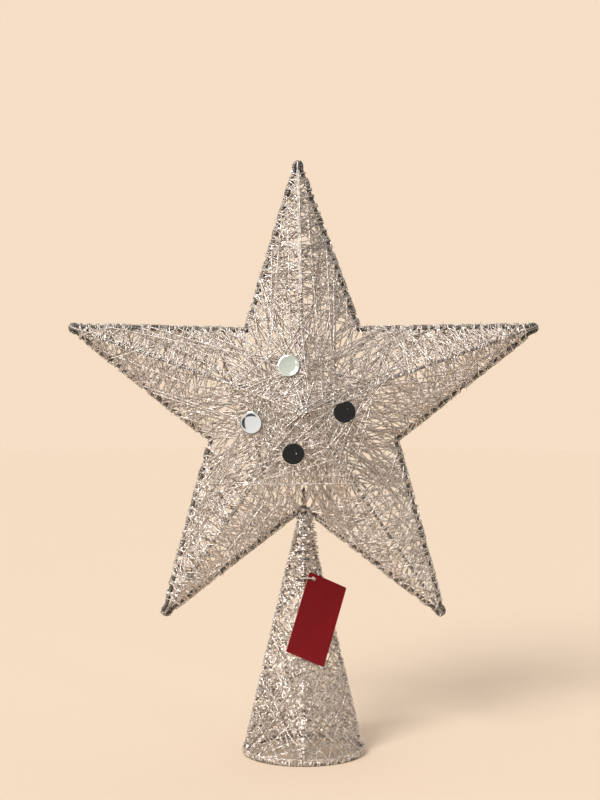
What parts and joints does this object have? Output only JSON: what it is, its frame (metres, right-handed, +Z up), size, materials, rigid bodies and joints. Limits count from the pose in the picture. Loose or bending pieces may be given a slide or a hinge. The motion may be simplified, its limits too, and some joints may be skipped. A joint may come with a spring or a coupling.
{
  "type": "christmas tree topper star",
  "caption": "Wire-framed five-pointed star covered in silver glitter yarn, on a yarn-wound conical wire socket, with mirror sequins and a swinging hang tag.",
  "frame": {"origin": "middle of the base ring, on the surface that the topper stands on", "axes": "+Z up, the star faces -Y, +X to the right as seen from the front"},
  "size_m": [0.3008, 0.0768, 0.3782],
  "materials": {
    "frame_wire": "silver-painted steel wire",
    "glitter_yarn": "silver metallic glitter yarn",
    "sequin_mirror": "polished mirror film",
    "tag_card": "dark red coated card",
    "tag_loop_nylon": "clear pale nylon"
  },
  "bodies": {
    "topper": {"arm_wire_left_lower": "frame_wire", "arm_wire_left_upper": "frame_wire", "arm_wire_lower_left_inner": "frame_wire", "arm_wire_lower_left_outer": "frame_wire", "arm_wire_lower_right_inner": "frame_wire", "arm_wire_lower_right_outer": "frame_wire", "arm_wire_right_lower": "frame_wire", "arm_wire_right_upper": "frame_wire", "arm_wire_top_left": "frame_wire", "arm_wire_top_right": "frame_wire", "back_apex_bead": "frame_wire", "back_net_left": "glitter_yarn", "back_net_lower_left": "glitter_yarn", "back_net_lower_right": "glitter_yarn", "back_net_right": "glitter_yarn", "back_net_top": "glitter_yarn", "back_ridge_left": "frame_wire", "back_ridge_lower_left": "frame_wire", "back_ridge_lower_right": "frame_wire", "back_ridge_right": "frame_wire", "back_ridge_top": "frame_wire", "back_span_left_to_lower_left": "glitter_yarn", "back_span_lower_left_to_lower_right": "glitter_yarn", "back_span_lower_right_to_right": "glitter_yarn", "back_span_right_to_top": "glitter_yarn", "back_span_top_to_left": "glitter_yarn", "base_ring": "frame_wire", "cone_leg_back": "frame_wire", "cone_leg_front": "frame_wire", "cone_leg_left": "frame_wire", "cone_leg_right": "frame_wire", "cone_net_back_left": "glitter_yarn", "cone_net_front_right": "glitter_yarn", "cone_net_left_front": "glitter_yarn", "cone_net_right_back": "glitter_yarn", "front_apex_bead": "frame_wire", "front_net_left": "glitter_yarn", "front_net_lower_left": "glitter_yarn", "front_net_lower_right": "glitter_yarn", "front_net_right": "glitter_yarn", "front_net_top": "glitter_yarn", "front_ridge_left": "frame_wire", "front_ridge_lower_left": "frame_wire", "front_ridge_lower_right": "frame_wire", "front_ridge_right": "frame_wire", "front_ridge_top": "frame_wire", "front_span_left_to_lower_left": "glitter_yarn", "front_span_lower_left_to_lower_right": "glitter_yarn", "front_span_lower_right_to_right": "glitter_yarn", "front_span_right_to_top": "glitter_yarn", "front_span_top_to_left": "glitter_yarn", "neck_stem_back": "frame_wire", "neck_stem_front": "frame_wire", "neck_winding": "glitter_yarn", "sequin_left": "sequin_mirror", "sequin_lower": "sequin_mirror", "sequin_right": "sequin_mirror", "sequin_upper": "sequin_mirror"},
    "loop": {"tag_loop": "tag_loop_nylon"},
    "tag": {"hang_tag": "tag_card"}
  },
  "joints": [
    {"name": "tag_lift", "type": "hinge", "parent": "topper", "child": "loop", "pos_m": [0, -0.01106, 0.112], "axis": [-0.8829, -0.457, 0.1076], "range_deg": [0, 40]},
    {"name": "tag_swing", "type": "hinge", "parent": "loop", "child": "tag", "pos_m": [0.0064, -0.01116, 0.11202], "axis": [0.4695, -0.8595, 0.2023], "range_deg": [-30, 30]}
  ]
}
